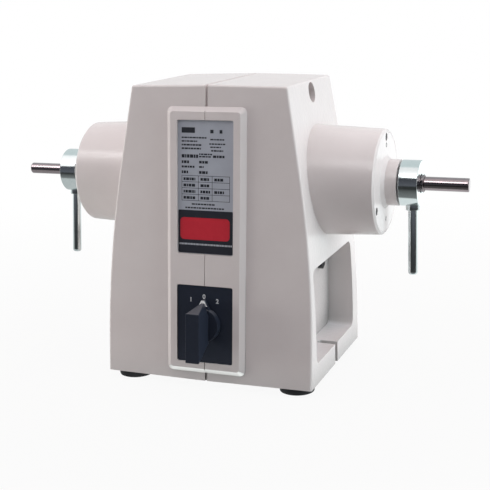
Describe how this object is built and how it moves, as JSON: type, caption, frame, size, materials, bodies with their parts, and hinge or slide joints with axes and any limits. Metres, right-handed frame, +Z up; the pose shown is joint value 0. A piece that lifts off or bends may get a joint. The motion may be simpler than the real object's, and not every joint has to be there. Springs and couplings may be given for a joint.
{
  "type": "dental polishing lathe",
  "caption": "Bench polishing lathe for a dental laboratory: cast tower, motor across it with a spindle at each end, lever-turned ejector collars, rotary speed switch.",
  "frame": {"origin": "centre of the footprint over everything, at the height of the bench under the feet", "axes": "+X along the spindle to the right-hand end, -Y out of the front with the switch, +Z up"},
  "size_m": [0.499, 0.2395, 0.3095],
  "materials": {
    "housing_paint": "wrinkled warm grey baked enamel on a casting",
    "black_screws": "blackened steel, satin",
    "bearing_steel": "ground bearing steel",
    "seal_rubber": "matt nitrile rubber",
    "turned_steel": "fine turned steel, satin",
    "zinc_plate": "bright zinc plate over turned steel",
    "ground_steel": "ground steel, bright with faint handling marks",
    "core_steel": "stacked electrical sheet, varnished",
    "cast_aluminium": "as cast",
    "enamelled_copper": "enamelled copper wire, varnished",
    "name_plate": "satin anodised sheet with plain printed bands",
    "switch_black": "black moulded phenolic, slight gloss",
    "foot_rubber": "matt black rubber",
    "base_sheet": "plain zinc plated sheet",
    "terminal_plastic": "moulded polyamide",
    "terminal_brass": "plain brass",
    "gland_plastic": "black moulded polyamide"
  },
  "bodies": {
    "machine": {"ball_row_left": "bearing_steel", "ball_row_right": "bearing_steel", "base_plate": "base_sheet", "bearing_outer_left": "bearing_steel", "bearing_outer_right": "bearing_steel", "bearing_spacer": "bearing_steel", "cable_gland": "gland_plastic", "cam_nose_left": "turned_steel", "cam_nose_right": "turned_steel", "capacitor_clip": "zinc_plate", "earth_screw": "terminal_brass", "end_shield_left": "housing_paint", "end_shield_right": "housing_paint", "feet": "foot_rubber", "foot_studs": "zinc_plate", "gland_nut": "gland_plastic", "housing_left": "housing_paint", "housing_right": "housing_paint", "lip_seal_left": "seal_rubber", "lip_seal_right": "seal_rubber", "name_plate": "name_plate", "preload_spring": "bearing_steel", "run_capacitor": "cast_aluminium", "shield_screws_left": "black_screws", "shield_screws_right": "black_screws", "stator_core": "core_steel", "switch_body": "switch_black", "switch_plate": "switch_black", "terminal_block": "terminal_plastic", "tie_bolts": "black_screws", "tie_nuts": "black_screws", "winding_left": "enamelled_copper", "winding_right": "enamelled_copper"},
    "rotor": {"spindle": "ground_steel", "rotor_core": "core_steel", "rotor_end_rings": "cast_aluminium", "bearing_inner_right": "bearing_steel", "bearing_inner_left": "bearing_steel"},
    "ejector_right": {"ejector_collar_right": "zinc_plate", "ejector_lever_right": "zinc_plate"},
    "ejector_left": {"ejector_collar_left": "zinc_plate", "ejector_lever_left": "zinc_plate"},
    "push_sleeve_right": {"push_sleeve_right": "turned_steel", "cam_pins_right": "turned_steel"},
    "push_sleeve_left": {"push_sleeve_left": "turned_steel", "cam_pins_left": "turned_steel"},
    "switch_handle": {"switch_knob": "switch_black", "switch_spindle": "turned_steel"}
  },
  "joints": [
    {"name": "spindle_spin", "type": "hinge", "parent": "machine", "child": "rotor", "pos_m": [0, 0.0127, 0.206], "axis": [1, 0, 0], "continuous": true},
    {"name": "eject_right", "type": "hinge", "parent": "machine", "child": "ejector_right", "pos_m": [0.1915, 0.0127, 0.206], "axis": [-1, 0, 0], "range_deg": [0, 70]},
    {"name": "eject_left", "type": "hinge", "parent": "machine", "child": "ejector_left", "pos_m": [-0.1915, 0.0127, 0.206], "axis": [-1, 0, 0], "range_deg": [0, 70]},
    {"name": "push_right", "type": "slide", "parent": "machine", "child": "push_sleeve_right", "axis": [1, 0, 0], "range_m": [0, 0.004]},
    {"name": "push_left", "type": "slide", "parent": "machine", "child": "push_sleeve_left", "axis": [-1, 0, 0], "range_m": [0, 0.004]},
    {"name": "speed_switch", "type": "hinge", "parent": "machine", "child": "switch_handle", "pos_m": [0, -0.08013, 0.06818], "axis": [0, -0.9963, 0.0857], "range_deg": [-30, 30]}
  ],
  "couplings": [
    {"joint": "push_right", "follows": "eject_right", "m_per_rad": 0.0032741},
    {"joint": "push_left", "follows": "eject_left", "m_per_rad": 0.0032741}
  ]
}
